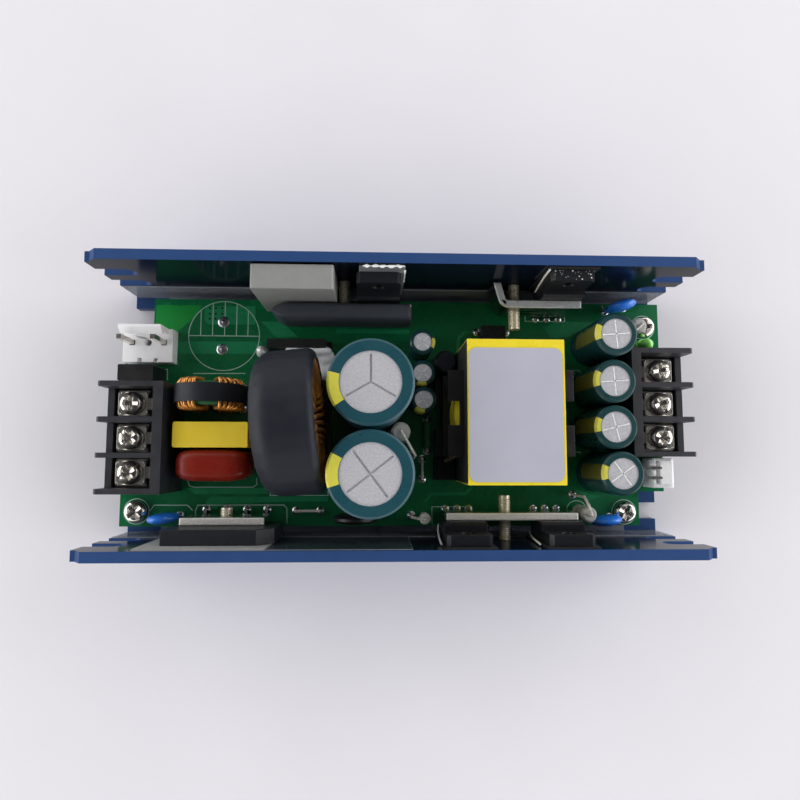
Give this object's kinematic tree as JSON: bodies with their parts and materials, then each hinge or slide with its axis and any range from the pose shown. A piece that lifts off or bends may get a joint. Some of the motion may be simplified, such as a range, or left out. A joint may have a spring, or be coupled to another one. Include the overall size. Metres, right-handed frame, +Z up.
{
  "type": "open-frame power supply",
  "caption": "Open-frame switching power supply: board of capacitors, chokes and a transformer in a U-shaped metal channel, with screw terminals at both ends.",
  "frame": {"origin": "centre of the underside of the channel", "axes": "+X along the channel from the input terminal to the output terminal, +Y across it towards the wall that carries the boost switch, +Z up out of its open side"},
  "size_m": [0.1414, 0.068, 0.0436],
  "materials": {
    "channel": "satin blue anodised look",
    "film": "clear film",
    "board": "green solder mask",
    "steel": "plated steel",
    "bar_steel": "grainy bare steel",
    "zinc": "yellow zinc plated steel",
    "aluminium": "bare can",
    "terminal_plastic": "charcoal moulding",
    "white_plastic": "white moulding",
    "black_plastic": "black moulding",
    "case_plastic": "black epoxy case",
    "shrink": "black shrunk tube",
    "sleeve": "teal sleeve",
    "yellow_plastic": "yellow case",
    "red_epoxy": "red-brown dip",
    "blue_epoxy": "blue dip",
    "ferrite": "dark ferrite",
    "green_core": "green coated core",
    "enamel_wire": "copper wire, enamelled",
    "yellow_tape": "yellow polyester tape",
    "label": "bare grey label",
    "silicone": "grey silicone",
    "pad": "grey thermal pad",
    "dark_pad": "dark thermal pad",
    "ceramic": "white ceramic",
    "grey_epoxy": "grey coating",
    "lamp": "green lens",
    "solder": "solder"
  },
  "bodies": {
    "root": {"bracket": "channel", "insulation_film": "film", "circuit_board": "board", "board_standoffs": "steel", "board_screws": "steel", "input_terminal": "terminal_plastic", "output_terminal": "terminal_plastic", "terminal_contacts": "steel", "terminal_screws": "steel", "dc_connector": "white_plastic", "fan_connector": "white_plastic", "connector_pins": "steel", "fuse": "black_plastic", "filter_choke_core": "green_core", "filter_choke_windings": "enamel_wire", "filter_choke_band": "shrink", "x_capacitor": "yellow_plastic", "film_capacitor": "red_epoxy", "boost_choke_core": "ferrite", "boost_choke_winding": "enamel_wire", "boost_choke_sleeve": "shrink", "boost_choke_base": "black_plastic", "bulk_capacitor_cans": "aluminium", "bulk_capacitor_sleeves": "sleeve", "aux_capacitor_cans": "aluminium", "aux_capacitor_sleeves": "sleeve", "output_capacitor_cans": "aluminium", "output_capacitor_sleeves": "sleeve", "transformer_core": "ferrite", "transformer_bobbin": "black_plastic", "transformer_winding": "yellow_tape", "transformer_tape": "yellow_tape", "transformer_label": "label", "bridge_rectifier": "case_plastic", "boost_switch": "case_plastic", "silicone_cap": "silicone", "boost_diode": "case_plastic", "inverter_switches": "case_plastic", "output_rectifier": "case_plastic", "device_leads": "solder", "rectifier_pad": "pad", "thermal_pads": "dark_pad", "ceramic_pad": "ceramic", "rectifier_clamp": "bar_steel", "inverter_clamp": "bar_steel", "boost_clamp": "bar_steel", "boost_clamp_sleeve": "shrink", "output_clamp": "bar_steel", "clamp_screws": "zinc", "safety_capacitors": "blue_epoxy", "inrush_resistor": "black_plastic", "power_resistors": "grey_epoxy", "aux_inductor": "shrink", "axial_inductor": "green_core", "bent_leads": "solder", "optocoupler": "case_plastic", "control_ic": "case_plastic", "indicator_lamp": "lamp", "component_leads": "solder", "solder_joints": "solder"}
  },
  "joints": []
}
